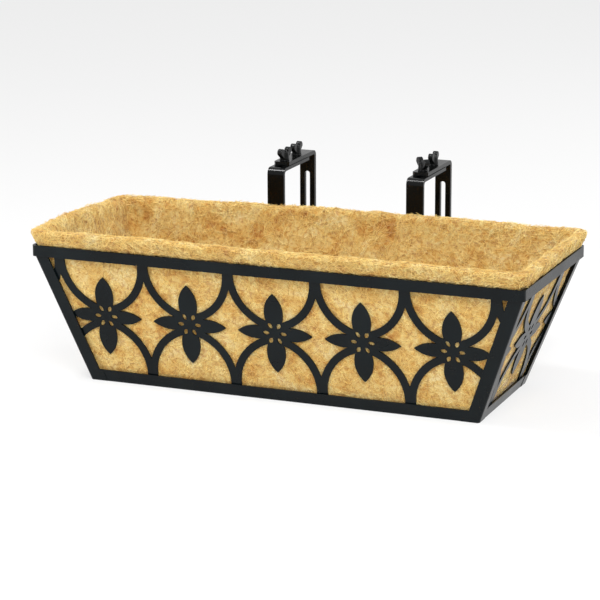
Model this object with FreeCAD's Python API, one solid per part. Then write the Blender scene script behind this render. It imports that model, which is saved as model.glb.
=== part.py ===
# Window box planter: a flared steel basket with a cut-out flower lattice, a
# moulded coir liner that lifts out, and two brackets that hang it on a railing.
# Millimetres.  X runs along the length, +Y towards the railing, +Z up.
# The origin is the middle of the footprint, on the floor plane.

import FreeCAD, Part
import math
import os

# ---------------------------------------------------------------- box sizes
box_length = 610.0             # outside of the rim along X
box_depth = 240.0              # outside of the rim along Y
box_height = 167.0             # floor to the top of the rim
base_end_inset = 60.0          # rim's end face to the post's foot, along X
base_side_inset = 31.0         # rim's front face to the post's foot, along Y

# ------------------------------------------------------------- rim and posts
rim_height = 13.0              # flat bar standing on edge
rim_thickness = 3.0
rim_bend_radius = 6.0          # outside of each bent corner
post_front_flange = 17.0       # angle leg seen from the front or back
post_side_flange = 15.0        # angle leg seen from the ends
post_thickness = 2.5
post_bend_flats = 3            # flats round the outside of the post's bend
post_lap = 11.0                # upright top of the post, held behind the rim
foot_lap = 5.0                 # how far the foot tab runs past the flange

# ---------------------------------------------------------- rails and floor
rail_height = 14.0
rail_setback = 0.5             # rail face behind the post face
crossbar_width = 22.0
crossbar_thickness = 3.0
crossbar_end_inset = 95.0      # base's end to the outer floor bar's middle
upright_width = 18.0
upright_end_inset = 45.0       # base's end to the outer upright's middle
bar_floor_gap = 1.0            # plates and uprights start this far over the bars

# ------------------------------------------------------------------ lattice
lattice_thickness = 1.5
lattice_hidden_edge = 1.0      # border kept back behind the frame's edge
lattice_rim_gap = 0.05         # between the plate's top edge and the rim
motif_height = 142.3           # window height the motif below is drawn for
motif_pitch = 108.4            # flower to flower
upright_petal_length = 50.0
upright_petal_width = 23.4
flat_petal_length = 46.5
flat_petal_width = 16.6
scroll_inner_radius = 57.6     # each scroll band is part of a ring
scroll_outer_radius = 66.8
scroll_centre_rise = 68.6      # ring centre above or below the flower
scroll_centre_offset = 10.0    # ring centre across the flower's middle line
flower_eye_radius = 17.0
seed_hole_ring = 10.8          # six small lens holes round the eye
seed_hole_length = 8.4
seed_hole_width = 5.0

# -------------------------------------------------------------------- liner
liner_wall = 10.0
liner_floor = 9.0
liner_lip_height = 19.5        # above the rim
liner_lip_overhang = 4.0       # top of the lip beyond the rim, all round
liner_lip_seat = 1.2           # how far the lip's underside rests over the rim
liner_lip_wall = 12.0
liner_lip_radius = 12.0
liner_clearance = 0.3          # to the frame, on every side
liner_notch_clearance = 0.8    # each side of a strap, in the back of the lip

# ----------------------------------------------------------------- brackets
bracket_spacing = 182.0        # middle to middle of the two straps
strap_width = 22.0
strap_thickness = 4.0
strap_top_height = 63.0        # top of the arm above the rim
strap_bend_radius = 8.0        # outside of the top bend
strap_arm_length = 86.0        # from the rim's back face
strap_slot_start = 9.0         # from the rim's back face
strap_slot_end = 82.0
hook_width = 20.0
hook_thickness = 5.0
hook_reach = 109.0             # rim's back face to the hook's back face
hook_arm_start = 18.0          # rim's back face to the arm's free end
hook_bend_radius = 7.0         # outside of the bend
hook_tip_height = -58.0        # lower end, measured from the rim top
hook_slot_top = 40.5           # slot in the hanging leg, from the rim top
hook_slot_bottom = -48.0
slide_clearance = 0.1          # between the two arms and under the arm
slot_width = 6.7
bar_end_trim = 2.5             # corners cut off each free end

# ---------------------------------------------------------------- fasteners
bolt_radius = 3.0
bolt_clearance = 0.3           # round the shank, in holes and nuts
bolt_neck = 6.0                # square neck that stops the bolt turning
bolt_head_radius = 6.6
bolt_head_height = 3.0
bolt_front_position = 29.0     # from the rim's back face
bolt_rear_position = 68.0
bolt_end_above_nut = 3.0
bolt_tip = 0.8                 # bevel at the bolt's end
washer_radius = 6.2
washer_thickness = 1.2
nut_hub_radius = 6.0
nut_hub_top_radius = 5.2
nut_hub_height = 8.0
nut_wing_radius = 14.0
nut_wing_height = 15.5
nut_wing_thickness = 3.2
nut_turn_angles = {
    "left_front": 84.0,
    "left_rear": 90.0,
    "right_front": 134.0,
    "right_rear": 92.0,
}
fastener_sides = 20            # flats round each small round fastener

# ------------------------------------------------------------ derived places
rim_bottom = box_height - rim_height
half_length = box_length / 2.0
half_depth = box_depth / 2.0
base_length = box_length - 2.0 * base_end_inset
base_depth = box_depth - 2.0 * base_side_inset
rim_inner_radius = rim_bend_radius - rim_thickness   # the posts' bends nest in it
crossbar_spacing = base_length / 2.0 - crossbar_end_inset
upright_spacing = base_length / 2.0 - upright_end_inset
plate_bottom = crossbar_thickness + bar_floor_gap
front_slope = (half_depth - rim_thickness - base_depth / 2.0) / rim_bottom
side_slope = (half_length - rim_thickness - base_length / 2.0) / rim_bottom
front_factor = math.sqrt(1.0 + front_slope ** 2)
side_factor = math.sqrt(1.0 + side_slope ** 2)
arm_top = box_height + strap_top_height
hook_arm_bottom = arm_top + slide_clearance
hook_arm_top = hook_arm_bottom + hook_thickness
nut_seat = hook_arm_top + washer_thickness


# ------------------------------------------------------------ small helpers
def vec(x, y, z):
    return FreeCAD.Vector(x, y, z)


def flat_face(points):
    """A flat face inside a closed run of points."""
    return Part.Face(Part.makePolygon(points + [points[0]]))


def solid_between(lower, upper):
    """A solid with flat sides between two level outlines of as many points."""
    count = len(lower)
    turn = sum(lower[i - 1].x * lower[i].y - lower[i].x * lower[i - 1].y for i in range(count))
    if turn < 0:
        lower = list(reversed(lower))
        upper = list(reversed(upper))
    faces = [flat_face(list(reversed(lower))), flat_face(upper)]
    for i in range(count):
        j = (i + 1) % count
        faces.append(flat_face([lower[i], lower[j], upper[j], upper[i]]))
    return Part.Solid(Part.Shell(faces))


def flared_block(z_low, z_high, x_inset, y_inset):
    """The inside of the flared basket, inset from the posts' outer planes."""
    outlines = []
    for z in (z_low, z_high):
        x = outer_x(z) - x_inset
        y = outer_y(z) - y_inset
        outlines.append([vec(-x, -y, z), vec(x, -y, z), vec(x, y, z), vec(-x, y, z)])
    return solid_between(outlines[0], outlines[1])


def outer_x(z):
    """Half length of the basket between the posts' outer planes at height z."""
    return base_length / 2.0 + side_slope * z


def outer_y(z):
    """Half depth of the basket between the posts' outer planes at height z."""
    return base_depth / 2.0 + front_slope * z


def rounded_plate(x, y, z_low, z_high, radius):
    """An upright block centred on Z with rounded corners."""
    block = Part.makeBox(2 * x, 2 * y, z_high - z_low, vec(-x, -y, z_low))
    upright = [e for e in block.Edges if abs(e.Vertexes[0].Z - e.Vertexes[-1].Z) > 0.1]
    return block.makeFillet(radius, upright)


def rounded_run(points, radii):
    """Lines and arcs along an open run of points in the YZ plane."""
    edges = []
    start = points[0]
    for i in range(1, len(points)):
        if i == len(points) - 1 or radii[i] <= 0:
            edges.append(Part.makeLine(start, points[i]))
            start = points[i]
            continue
        before = (points[i - 1] - points[i]).normalize()
        after = (points[i + 1] - points[i]).normalize()
        half = before.getAngle(after) / 2.0
        run = radii[i] / math.tan(half)
        first = points[i] + before * run
        last = points[i] + after * run
        middle = (before + after).normalize()
        centre = points[i] + middle * (radii[i] / math.sin(half))
        edges.append(Part.makeLine(start, first))
        edges.append(Part.Arc(first, centre - middle * radii[i], last).toShape())
        start = last
    return edges


def bent_bar(points, thickness, radii, width, x_middle):
    """A flat bar bent along points (y, z); the bar lies to their right."""
    count = len(points)
    outer = [vec(0, p[0], p[1]) for p in points]
    inner = []
    for i in range(count):
        normals = []
        for j in (i - 1, i):
            if 0 <= j < count - 1:
                step = (outer[j + 1] - outer[j]).normalize()
                normals.append(vec(0, step.z, -step.y))
        across = normals[0]
        if len(normals) == 2:
            total = normals[0] + normals[1]
            across = total * (2.0 / total.dot(total))
        inner.append(outer[i] + across * thickness)
    inner_radii = [max(r - thickness, 0.0) for r in radii]
    edges = rounded_run(outer, radii)
    edges.append(Part.makeLine(outer[-1], inner[-1]))
    edges += rounded_run(list(reversed(inner)), list(reversed(inner_radii)))
    edges.append(Part.makeLine(inner[0], outer[0]))
    face = Part.Face(Part.Wire(Part.__sortEdges__(edges)))
    bar = face.extrude(vec(width, 0, 0))
    bar.translate(vec(x_middle - width / 2.0, 0, 0))
    return bar


def many_sided(radius, height, at, grow=False, top_radius=None):
    """A small round bar with flats; grow keeps the flats outside the radius."""
    stretch = 1.0 / math.cos(math.pi / fastener_sides) if grow else 1.0
    outlines = []
    for level, size in ((0.0, radius), (height, top_radius or radius)):
        points = []
        for i in range(fastener_sides):
            a = 2.0 * math.pi * (i + 0.5) / fastener_sides
            reach = size * stretch
            points.append(at + vec(reach * math.cos(a), reach * math.sin(a), level))
        outlines.append(points)
    return solid_between(outlines[0], outlines[1])


def trim_corners(bar, axis, end):
    """Cut the two sharp corners off a flat bar's free end."""
    corners = []
    for edge in bar.Edges:
        if abs(edge.Length - strap_thickness) > 0.01 and abs(edge.Length - hook_thickness) > 0.01:
            continue
        ends = [v.Y if axis == "y" else v.Z for v in edge.Vertexes]
        if len(ends) == 2 and max(abs(e - end) for e in ends) < 0.01:
            corners.append(edge)
    return bar.makeChamfer(bar_end_trim, corners)


def slot_cutter(length, width, depth):
    """A round-ended slot along +X from the origin, sunk along +Z."""
    half = width / 2.0
    body = Part.makeBox(length - width, width, depth, vec(half, -half, 0))
    near = Part.makeCylinder(half, depth, vec(half, 0, 0))
    far = Part.makeCylinder(half, depth, vec(length - half, 0, 0))
    return body.fuse([near, far]).removeSplitter()


# ------------------------------------------------------------ steel basket
def make_rim():
    """One flat bar bent on edge round the top, with flat inner faces."""
    outer = rounded_plate(half_length, half_depth, rim_bottom, box_height, rim_bend_radius)
    inner_x = half_length - rim_thickness
    inner_y = half_depth - rim_thickness
    hole = rounded_plate(inner_x, inner_y, rim_bottom - 1, box_height + 1, rim_inner_radius)
    return outer.cut(hole)


def post_outline(side_x, side_y, z, front_width, side_width):
    """The angle section of a post at height z, bent round its outer corner."""
    x0 = outer_x(z)
    y0 = outer_y(z)
    t_y = post_thickness * front_factor
    t_x = post_thickness * side_factor
    pairs = []
    for flat in range(post_bend_flats + 1):
        a = math.radians(90.0 * flat / post_bend_flats)
        bend_x = x0 - rim_inner_radius * (1.0 - math.sin(a))
        bend_y = y0 - rim_inner_radius * (1.0 - math.cos(a))
        pairs.append((bend_x, bend_y))
    pairs += [
        (x0, y0 - side_width),
        (x0 - t_x, y0 - side_width),
        (x0 - t_x, y0 - t_y),
        (x0 - front_width, y0 - t_y),
        (x0 - front_width, y0),
    ]
    return [vec(side_x * x, side_y * y, z) for x, y in pairs]


def make_post(side_x, side_y):
    """A leaning angle post, its top bent upright and its foot widened."""
    low = post_outline(side_x, side_y, 0.0, post_front_flange, post_side_flange)
    high = post_outline(side_x, side_y, rim_bottom, post_front_flange, post_side_flange)
    leaning = solid_between(low, high)
    top = flat_face(high).extrude(vec(0, 0, post_lap))
    wide_front = post_front_flange + foot_lap
    wide_side = post_side_flange + foot_lap
    foot_low = post_outline(side_x, side_y, 0.0, wide_front, wide_side)
    foot_high = post_outline(side_x, side_y, rail_height, wide_front, wide_side)
    foot = solid_between(foot_low, foot_high)
    return leaning.fuse([top, foot]).removeSplitter()


def make_rail(direction, sign):
    """A base rail between two foot tabs; direction 'x' is front or back."""
    outlines = []
    for z in (0.0, rail_height):
        if direction == "x":
            end = outer_x(z) - post_front_flange - foot_lap
            face = outer_y(z) - rail_setback * front_factor
            back = outer_y(z) - post_thickness * front_factor
            pairs = [(-end, face), (end, face), (end, back), (-end, back)]
            points = [vec(a, sign * b, z) for a, b in pairs]
        else:
            end = outer_y(z) - post_side_flange - foot_lap
            face = outer_x(z) - rail_setback * side_factor
            back = outer_x(z) - post_thickness * side_factor
            pairs = [(-end, face), (end, face), (end, back), (-end, back)]
            points = [vec(sign * b, a, z) for a, b in pairs]
        outlines.append(points)
    return solid_between(outlines[0], outlines[1])


def make_crossbar(x_middle):
    """A floor bar from the front rail to the back rail."""
    half = crossbar_width / 2.0
    outlines = []
    for z in (0.0, crossbar_thickness):
        y = outer_y(z) - post_thickness * front_factor
        corners = [(x_middle - half, -y), (x_middle + half, -y)]
        corners += [(x_middle + half, y), (x_middle - half, y)]
        outlines.append([vec(a, b, z) for a, b in corners])
    return solid_between(outlines[0], outlines[1])


def make_back_upright(x_middle):
    """A flat bar up the open back, lapped inside the rail and the rim."""
    half = upright_width / 2.0
    outlines = []
    for z in (plate_bottom, plate_top("x")):
        face = outer_y(z) - post_thickness * front_factor
        back = face - lattice_thickness * front_factor
        corners = [(x_middle - half, face), (x_middle + half, face)]
        corners += [(x_middle + half, back), (x_middle - half, back)]
        outlines.append([vec(a, b, z) for a, b in corners])
    return solid_between(outlines[0], outlines[1])


# ---------------------------------------------------------------- lattice
def plate_top(direction):
    """Height at which a sloping plate's outer face meets the rim's inner face."""
    if direction == "x":
        slope, factor = front_slope, front_factor
        flare = half_depth - rim_thickness - base_depth / 2.0
    else:
        slope, factor = side_slope, side_factor
        flare = half_length - rim_thickness - base_length / 2.0
    meets = (flare + post_thickness * factor - lattice_rim_gap) / slope
    return min(meets, box_height - 0.5)


def lens(u, v, length, width, angle):
    """A pointed petal face from (u, v) outwards, between two arcs."""
    half = width / 2.0
    base = vec(0, 0, 0)
    tip = vec(length, 0, 0)
    over = Part.Arc(base, vec(length / 2.0, half, 0), tip).toShape()
    under = Part.Arc(tip, vec(length / 2.0, -half, 0), base).toShape()
    face = Part.Face(Part.Wire([over, under]))
    face.rotate(base, vec(0, 0, 1), angle)
    face.translate(vec(u, v, 0))
    return face


def seed(length, width):
    """A small pointed hole with four bevelled shoulders."""
    half = width / 2.0
    shoulder = [(0.0, 0.0), (0.22, -0.8), (0.5, -1.0), (0.78, -0.8)]
    shoulder += [(1.0, 0.0), (0.78, 0.8), (0.5, 1.0), (0.22, 0.8)]
    return flat_face([vec(a * length, b * half, 0) for a, b in shoulder])


def scroll_band(u, v, side_u, side_v, scale):
    """One quarter scroll: a ring part from the flower out to the rail."""
    inner = scroll_inner_radius * scale
    outer = scroll_outer_radius * scale
    arcs = []
    for radius in (inner, outer):
        points = []
        for degrees in (-84.0, -30.0, 24.0):
            a = math.radians(degrees)
            across = radius * math.cos(a) - scroll_centre_offset * scale
            along = radius * math.sin(a) + scroll_centre_rise * scale
            points.append(vec(u + side_u * across, v + side_v * along, 0))
        arcs.append(points)
    first = Part.Arc(*arcs[0]).toShape()
    second = Part.Arc(*arcs[1]).toShape()
    start = Part.makeLine(arcs[0][0], arcs[1][0])
    end = Part.makeLine(arcs[0][2], arcs[1][2])
    return Part.Face(Part.Wire(Part.__sortEdges__([first, end, second, start])))


def flower_metal(u, v, scale):
    """Petals, scroll bands and eye of one flower, as flat faces."""
    faces = []
    for angle in (90.0, 270.0):
        size = (upright_petal_length * scale, upright_petal_width * scale)
        faces.append(lens(u, v, size[0], size[1], angle))
    for angle in (0.0, 180.0):
        size = (flat_petal_length * scale, flat_petal_width * scale)
        faces.append(lens(u, v, size[0], size[1], angle))
    for side_u in (-1, 1):
        for side_v in (-1, 1):
            faces.append(scroll_band(u, v, side_u, side_v, scale))
    circle = Part.makeCircle(flower_eye_radius * scale, vec(u, v, 0))
    faces.append(Part.Face(Part.Wire([circle])))
    return faces


def seed_holes(u, v, scale):
    """Six lens holes round the flower's eye."""
    faces = []
    start = (seed_hole_ring - seed_hole_length / 2.0) * scale
    for i in range(6):
        a = math.radians(60.0 * i)
        at_u = u + start * math.cos(a)
        at_v = v + start * math.sin(a)
        hole = seed(seed_hole_length * scale, seed_hole_width * scale)
        hole.rotate(vec(0, 0, 0), vec(0, 0, 1), 60.0 * i)
        hole.translate(vec(at_u, at_v, 0))
        faces.append(hole)
    return faces


def make_lattice(direction):
    """A cut-out plate drawn flat: u along the side, v up the slope."""
    if direction == "x":
        factor, half_at, flange = front_factor, outer_x, post_front_flange
        end_inset = post_thickness * side_factor + liner_clearance
    else:
        factor, half_at, flange = side_factor, outer_y, post_side_flange
        end_inset = (post_thickness + lattice_thickness) * front_factor + liner_clearance
    outline = []
    window = []
    z_low = plate_bottom
    z_high = plate_top(direction)
    hidden = lattice_hidden_edge
    wide = half_at(rim_bottom) - end_inset
    narrow = half_at(rim_bottom) - flange - liner_clearance
    right_edge = [(half_at(z_low) - end_inset, z_low), (wide, rim_bottom)]
    right_edge += [(narrow, rim_bottom), (narrow, z_high)]
    outline += [vec(a, z * factor, 0) for a, z in right_edge]
    outline += [vec(-a, z * factor, 0) for a, z in reversed(right_edge)]
    w_low = rail_height - hidden
    w_high = rim_bottom + hidden
    for z, sign in ((w_low, -1), (w_low, 1), (w_high, 1), (w_high, -1)):
        window.append(vec(sign * (half_at(z) - flange + hidden), z * factor, 0))
    v_middle = (rail_height + rim_bottom) / 2.0 * factor
    scale = (rim_bottom - rail_height) * factor / motif_height
    reach = half_at(rim_bottom)
    count = int(reach / (motif_pitch * scale)) + 1
    metal = []
    holes = []
    for i in range(-count, count + 1):
        u = i * motif_pitch * scale
        metal += flower_metal(u, v_middle, scale)
        holes += seed_holes(u, v_middle, scale)
    opening = flat_face(window)
    cut_outs = opening.cut(metal).Faces
    limit = flat_face(window)
    for hole in holes:
        inside = hole.common(limit)
        cut_outs += [f for f in inside.Faces if f.Area > 1.0]
    plate = flat_face(outline).extrude(vec(0, 0, -lattice_thickness))
    cutters = []
    for face in cut_outs:
        if face.Area < 0.5:
            continue
        lifted = face.copy()
        lifted.translate(vec(0, 0, 1.0))
        cutters.append(lifted.extrude(vec(0, 0, -lattice_thickness - 2.0)))
    return plate.cut(cutters)


def place_plate(plate, u_axis, out_x, out_y):
    """Lean a flat plate against the inside of the posts on one side."""
    if out_x == 0:
        slope, factor = front_slope, front_factor
        at = base_depth / 2.0 - post_thickness * front_factor
    else:
        slope, factor = side_slope, side_factor
        at = base_length / 2.0 - post_thickness * side_factor
    v_axis = vec(out_x * slope / factor, out_y * slope / factor, 1.0 / factor)
    n_axis = u_axis.cross(v_axis)
    m = FreeCAD.Matrix(
        u_axis.x, v_axis.x, n_axis.x, out_x * at,
        u_axis.y, v_axis.y, n_axis.y, out_y * at,
        u_axis.z, v_axis.z, n_axis.z, 0.0,
        0, 0, 0, 1)
    placed = plate.copy()
    placed.transformShape(m, True)
    return placed


# ------------------------------------------------------------------ liner
def make_liner():
    """A moulded mat trough: flared walls, flat floor, thick rolled lip."""
    x_in = (post_thickness + lattice_thickness) * side_factor + liner_clearance
    y_in = (post_thickness + lattice_thickness) * front_factor + liner_clearance
    z_low = crossbar_thickness + liner_clearance
    z_lip = box_height + liner_clearance
    z_top = box_height + liner_lip_height
    trough = flared_block(z_low, z_lip + 1.0, x_in, y_in)
    top_x = half_length - rim_thickness - post_thickness * side_factor - liner_clearance
    top_y = half_depth - rim_thickness - post_thickness * front_factor - liner_clearance
    limit = Part.makeBox(2 * top_x, 2 * top_y, box_height * 2, vec(-top_x, -top_y, 0))
    trough = trough.common(limit)
    lip_x = half_length + liner_lip_overhang
    lip_y = half_depth + liner_lip_overhang
    seat_x = half_length - rim_thickness + liner_lip_seat
    seat_y = half_depth - rim_thickness + liner_lip_seat
    outlines = []
    for z, x, y in ((z_lip, seat_x, seat_y), (z_top, lip_x, lip_y)):
        outlines.append([vec(-x, -y, z), vec(x, -y, z), vec(x, y, z), vec(-x, y, z)])
    lip = solid_between(outlines[0], outlines[1])
    leaning = [e for e in lip.Edges if abs(e.Vertexes[0].Z - e.Vertexes[-1].Z) > 0.1]
    lip = lip.makeFillet(liner_lip_radius, leaning)
    body = trough.fuse(lip).removeSplitter()
    floor = z_low + liner_floor
    above = z_top + 5.0
    wall_x = outer_x(floor) - x_in - liner_wall
    wall_y = outer_y(floor) - y_in - liner_wall
    rate_x = (lip_x - liner_lip_wall - wall_x) / (z_top - floor)
    rate_y = (lip_y - liner_lip_wall - wall_y) / (z_top - floor)
    outlines = []
    for z in (floor, above):
        x = wall_x + rate_x * (z - floor)
        y = wall_y + rate_y * (z - floor)
        outlines.append([vec(-x, -y, z), vec(x, -y, z), vec(x, y, z), vec(-x, y, z)])
    cutters = [solid_between(outlines[0], outlines[1])]
    notch = strap_width + 2 * liner_notch_clearance
    for side in (-1, 1):
        x = side * bracket_spacing / 2.0 - notch / 2.0
        at = vec(x, half_depth - liner_clearance, box_height)
        cutters.append(Part.makeBox(notch, liner_lip_overhang * 2, liner_lip_height + 5.0, at))
    return body.cut(cutters)


# --------------------------------------------------------------- brackets
def make_strap(side):
    """Strap: up the sloping back, past the rim, then back over the railing."""
    x = side * bracket_spacing / 2.0
    foot = 1.5
    rest = rail_height + 1.0
    face = rail_setback * front_factor
    points = [
        (outer_y(foot) - face, foot),
        (outer_y(rest) - face, rest),
        (half_depth, rim_bottom - 2.0),
        (half_depth, arm_top),
        (half_depth + strap_arm_length, arm_top),
    ]
    radii = [0.0, 0.0, 0.0, strap_bend_radius, 0.0]
    strap = bent_bar(points, strap_thickness, radii, strap_width, x)
    slot = slot_cutter(strap_slot_end - strap_slot_start, slot_width, strap_thickness + 2.0)
    slot.rotate(vec(0, 0, 0), vec(0, 0, 1), 90)
    slot.translate(vec(x, half_depth + strap_slot_start, arm_top - strap_thickness - 1.0))
    strap = strap.cut(slot)
    return trim_corners(strap, "y", half_depth + strap_arm_length)


def make_hook(side):
    """Hook plate: a flat arm on the strap and a slotted leg down the railing."""
    x = side * bracket_spacing / 2.0
    back = half_depth + hook_reach
    points = [
        (half_depth + hook_arm_start, hook_arm_top),
        (back, hook_arm_top),
        (back, box_height + hook_tip_height),
    ]
    radii = [0.0, hook_bend_radius, 0.0]
    hook = bent_bar(points, hook_thickness, radii, hook_width, x)
    slot = slot_cutter(hook_slot_top - hook_slot_bottom, slot_width, hook_thickness + 2.0)
    slot.rotate(vec(0, 0, 0), vec(0, 1, 0), -90)
    slot.rotate(vec(0, 0, 0), vec(0, 0, 1), -90)
    slot.translate(vec(x, back - hook_thickness - 1.0, box_height + hook_slot_bottom))
    hook = hook.cut(slot)
    for position in (bolt_front_position, bolt_rear_position):
        at = vec(x, half_depth + position, hook_arm_bottom - 1.0)
        hook = hook.cut(many_sided(bolt_radius + bolt_clearance, hook_thickness + 2.0, at, True))
    hook = trim_corners(hook, "y", half_depth + hook_arm_start)
    return trim_corners(hook, "z", box_height + hook_tip_height)


def bolt_place(name):
    """Middle of a bolt, by the name of its nut."""
    side = -1 if name.startswith("left") else 1
    position = bolt_front_position if name.endswith("front") else bolt_rear_position
    return vec(side * bracket_spacing / 2.0, half_depth + position, 0)


def make_bolt(name):
    """Coach bolt: domed head under the strap, square neck in its slot."""
    at = bolt_place(name)
    seat = arm_top - strap_thickness - slide_clearance
    crown = bolt_head_height * 0.55
    shoulder = bolt_head_radius * 0.92
    low = at + vec(0, 0, seat - bolt_head_height)
    dome = many_sided(bolt_head_radius * 0.55, crown, low, False, shoulder)
    edge_foot = low + vec(0, 0, crown)
    edge_height = bolt_head_height - crown
    edge = many_sided(shoulder, edge_height, edge_foot, False, bolt_head_radius)
    half = bolt_neck / 2.0
    neck = Part.makeBox(bolt_neck, bolt_neck, strap_thickness, vec(at.x - half, at.y - half, seat))
    end = nut_seat + nut_hub_height + bolt_end_above_nut
    shank = many_sided(bolt_radius, end - seat, at + vec(0, 0, seat))
    tip = many_sided(bolt_radius, bolt_tip, at + vec(0, 0, end), False, bolt_radius - bolt_tip)
    return dome.fuse([edge, neck, shank, tip]).removeSplitter()


def make_washer(name):
    """Plain round washer between the hook's arm and the nut."""
    at = bolt_place(name) + vec(0, 0, hook_arm_top)
    disc = many_sided(washer_radius, washer_thickness, at)
    hole = many_sided(bolt_radius + bolt_clearance, washer_thickness, at, True)
    return disc.cut(hole)


def make_wing_nut(name):
    """Wing nut: a tapered hub with two raised ears."""
    base = vec(0, 0, 0)
    hub = many_sided(nut_hub_radius, nut_hub_height, base, False, nut_hub_top_radius)
    half = nut_wing_thickness / 2.0
    ear = nut_wing_radius * 0.27
    ear_u = nut_wing_radius - ear
    ear_v = nut_wing_height - ear
    solids = []
    for sign in (-1, 1):
        outline = [(0.0, nut_hub_height * 0.22), (nut_hub_radius, nut_hub_height * 0.22)]
        outline.append((nut_wing_radius - ear * 0.15, ear_v - ear * 0.5))
        for degrees in (0.0, 45.0, 90.0, 135.0, 180.0):
            a = math.radians(degrees)
            outline.append((ear_u + ear * math.cos(a), ear_v + ear * math.sin(a)))
        outline.append((nut_hub_top_radius * 0.8, nut_hub_height * 0.92))
        outline.append((0.0, nut_hub_height * 0.92))
        points = [vec(sign * u, -half, v) for u, v in outline]
        solids.append(flat_face(points).extrude(vec(0, nut_wing_thickness, 0)))
    nut = hub.fuse(solids).removeSplitter()
    bore = many_sided(bolt_radius + bolt_clearance, nut_wing_height + 2.0, vec(0, 0, -1), True)
    nut = nut.cut(bore)
    nut.rotate(base, vec(0, 0, 1), nut_turn_angles[name])
    nut.translate(bolt_place(name) + vec(0, 0, nut_seat))
    return nut


# --------------------------------------------------------------- the parts
def build():
    parts = {}
    parts["top_rim"] = make_rim()
    for word_y, side_y in (("front", -1), ("back", 1)):
        for word_x, side_x in (("left", -1), ("right", 1)):
            parts["corner_post_%s_%s" % (word_y, word_x)] = make_post(side_x, side_y)
    parts["base_rail_front"] = make_rail("x", -1)
    parts["base_rail_back"] = make_rail("x", 1)
    parts["base_rail_left"] = make_rail("y", -1)
    parts["base_rail_right"] = make_rail("y", 1)
    for word, side in (("left", -1), ("middle", 0), ("right", 1)):
        parts["floor_bar_%s" % word] = make_crossbar(side * crossbar_spacing)
        parts["back_upright_%s" % word] = make_back_upright(side * upright_spacing)
    front = make_lattice("x")
    end = make_lattice("y")
    parts["lattice_front"] = place_plate(front, vec(1, 0, 0), 0, -1)
    parts["lattice_right"] = place_plate(end, vec(0, 1, 0), 1, 0)
    parts["lattice_left"] = place_plate(end, vec(0, -1, 0), -1, 0)
    parts["coir_liner"] = make_liner()
    for word, side in (("left", -1), ("right", 1)):
        parts["strap_%s" % word] = make_strap(side)
        parts["hook_plate_%s" % word] = make_hook(side)
    for name in nut_turn_angles:
        parts["hook_bolt_%s" % name] = make_bolt(name)
        parts["washer_%s" % name] = make_washer(name)
        parts["wing_nut_%s" % name] = make_wing_nut(name)
    return parts


os.makedirs("parts", exist_ok=True)
for part_name, shape in build().items():
    box = shape.BoundBox
    print("%-26s valid %s solids %d  x %.1f %.1f  y %.1f %.1f  z %.1f %.1f" % (
        part_name, shape.isValid(), len(shape.Solids),
        box.XMin, box.XMax, box.YMin, box.YMax, box.ZMin, box.ZMax))
    shape.exportStep("parts/%s.step" % part_name)
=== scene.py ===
# %% [markdown]
# # Window box planter: the looks
# A flared steel basket with a cut-out flower lattice, a moulded coir liner and
# two brackets that hang it on a railing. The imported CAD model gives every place
# and size; this script gives each piece its surface. The steel stays as it is
# and gets soft edges and paint. The liner, a soft mat, is built again here as a
# lumpy shell with loose fibres, because a plain solid never looks like coir.

# %% Load the frame
import bmesh
import bpy
import math
from mathutils import Matrix, Vector, noise


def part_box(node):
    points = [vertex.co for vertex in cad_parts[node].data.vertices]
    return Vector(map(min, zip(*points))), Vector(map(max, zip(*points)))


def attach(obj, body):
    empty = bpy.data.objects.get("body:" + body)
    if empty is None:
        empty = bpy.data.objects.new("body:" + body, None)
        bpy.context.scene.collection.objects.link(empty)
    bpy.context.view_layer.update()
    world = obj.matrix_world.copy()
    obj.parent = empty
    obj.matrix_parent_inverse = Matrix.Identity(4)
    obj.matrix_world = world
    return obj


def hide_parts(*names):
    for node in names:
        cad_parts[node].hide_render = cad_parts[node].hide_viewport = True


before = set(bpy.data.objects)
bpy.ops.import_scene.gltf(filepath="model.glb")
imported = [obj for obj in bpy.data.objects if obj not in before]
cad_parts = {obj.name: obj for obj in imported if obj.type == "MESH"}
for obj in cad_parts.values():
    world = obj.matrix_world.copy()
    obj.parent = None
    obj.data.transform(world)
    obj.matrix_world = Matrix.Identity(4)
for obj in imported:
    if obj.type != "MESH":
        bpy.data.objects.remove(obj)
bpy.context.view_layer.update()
MM = 0.001

# %% [markdown]
# ## Measures taken from the frame
# Nothing is placed by eye. The rim's box gives the outside of the basket, and
# the walls lean between the floor and the rim by the same slopes as the steel,
# so what lies against a wall follows from its height alone.

# %% Measures in millimetres
rim_low, rim_high = [[c / MM for c in corner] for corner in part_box("top_rim")]
HALF_L, HALF_D, RIM_TOP, RIM_BOTTOM = rim_high[0], rim_high[1], rim_high[2], rim_low[2]
RIM_THICK = 3.0
BASE_L, BASE_D = 245.0, 89.0            # half length and depth of the basket at the floor
SIDE_SLOPE = (HALF_L - RIM_THICK - BASE_L) / RIM_BOTTOM
FRONT_SLOPE = (HALF_D - RIM_THICK - BASE_D) / RIM_BOTTOM
STRAP_X = 91.0                          # from the middle to each bracket's strap
print("rim %.0f x %.0f, top at %.0f" % (2 * HALF_L, 2 * HALF_D, RIM_TOP))

# %% [markdown]
# ## Helpers
# One function turns a colour as seen on a screen into the linear one that the
# shader wants. One function adds a node with its settings, values, links and
# ramp stops, so a material reads as a list of what feeds what.

# %% Colour and nodes
def colour(text):
    """Linear colour from an sRGB hex text."""
    parts = [int(text[i:i + 2], 16) / 255.0 for i in (1, 3, 5)]
    linear = [c / 12.92 if c <= 0.04045 else ((c + 0.055) / 1.055) ** 2.4 for c in parts]
    return (*linear, 1.0)


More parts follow.
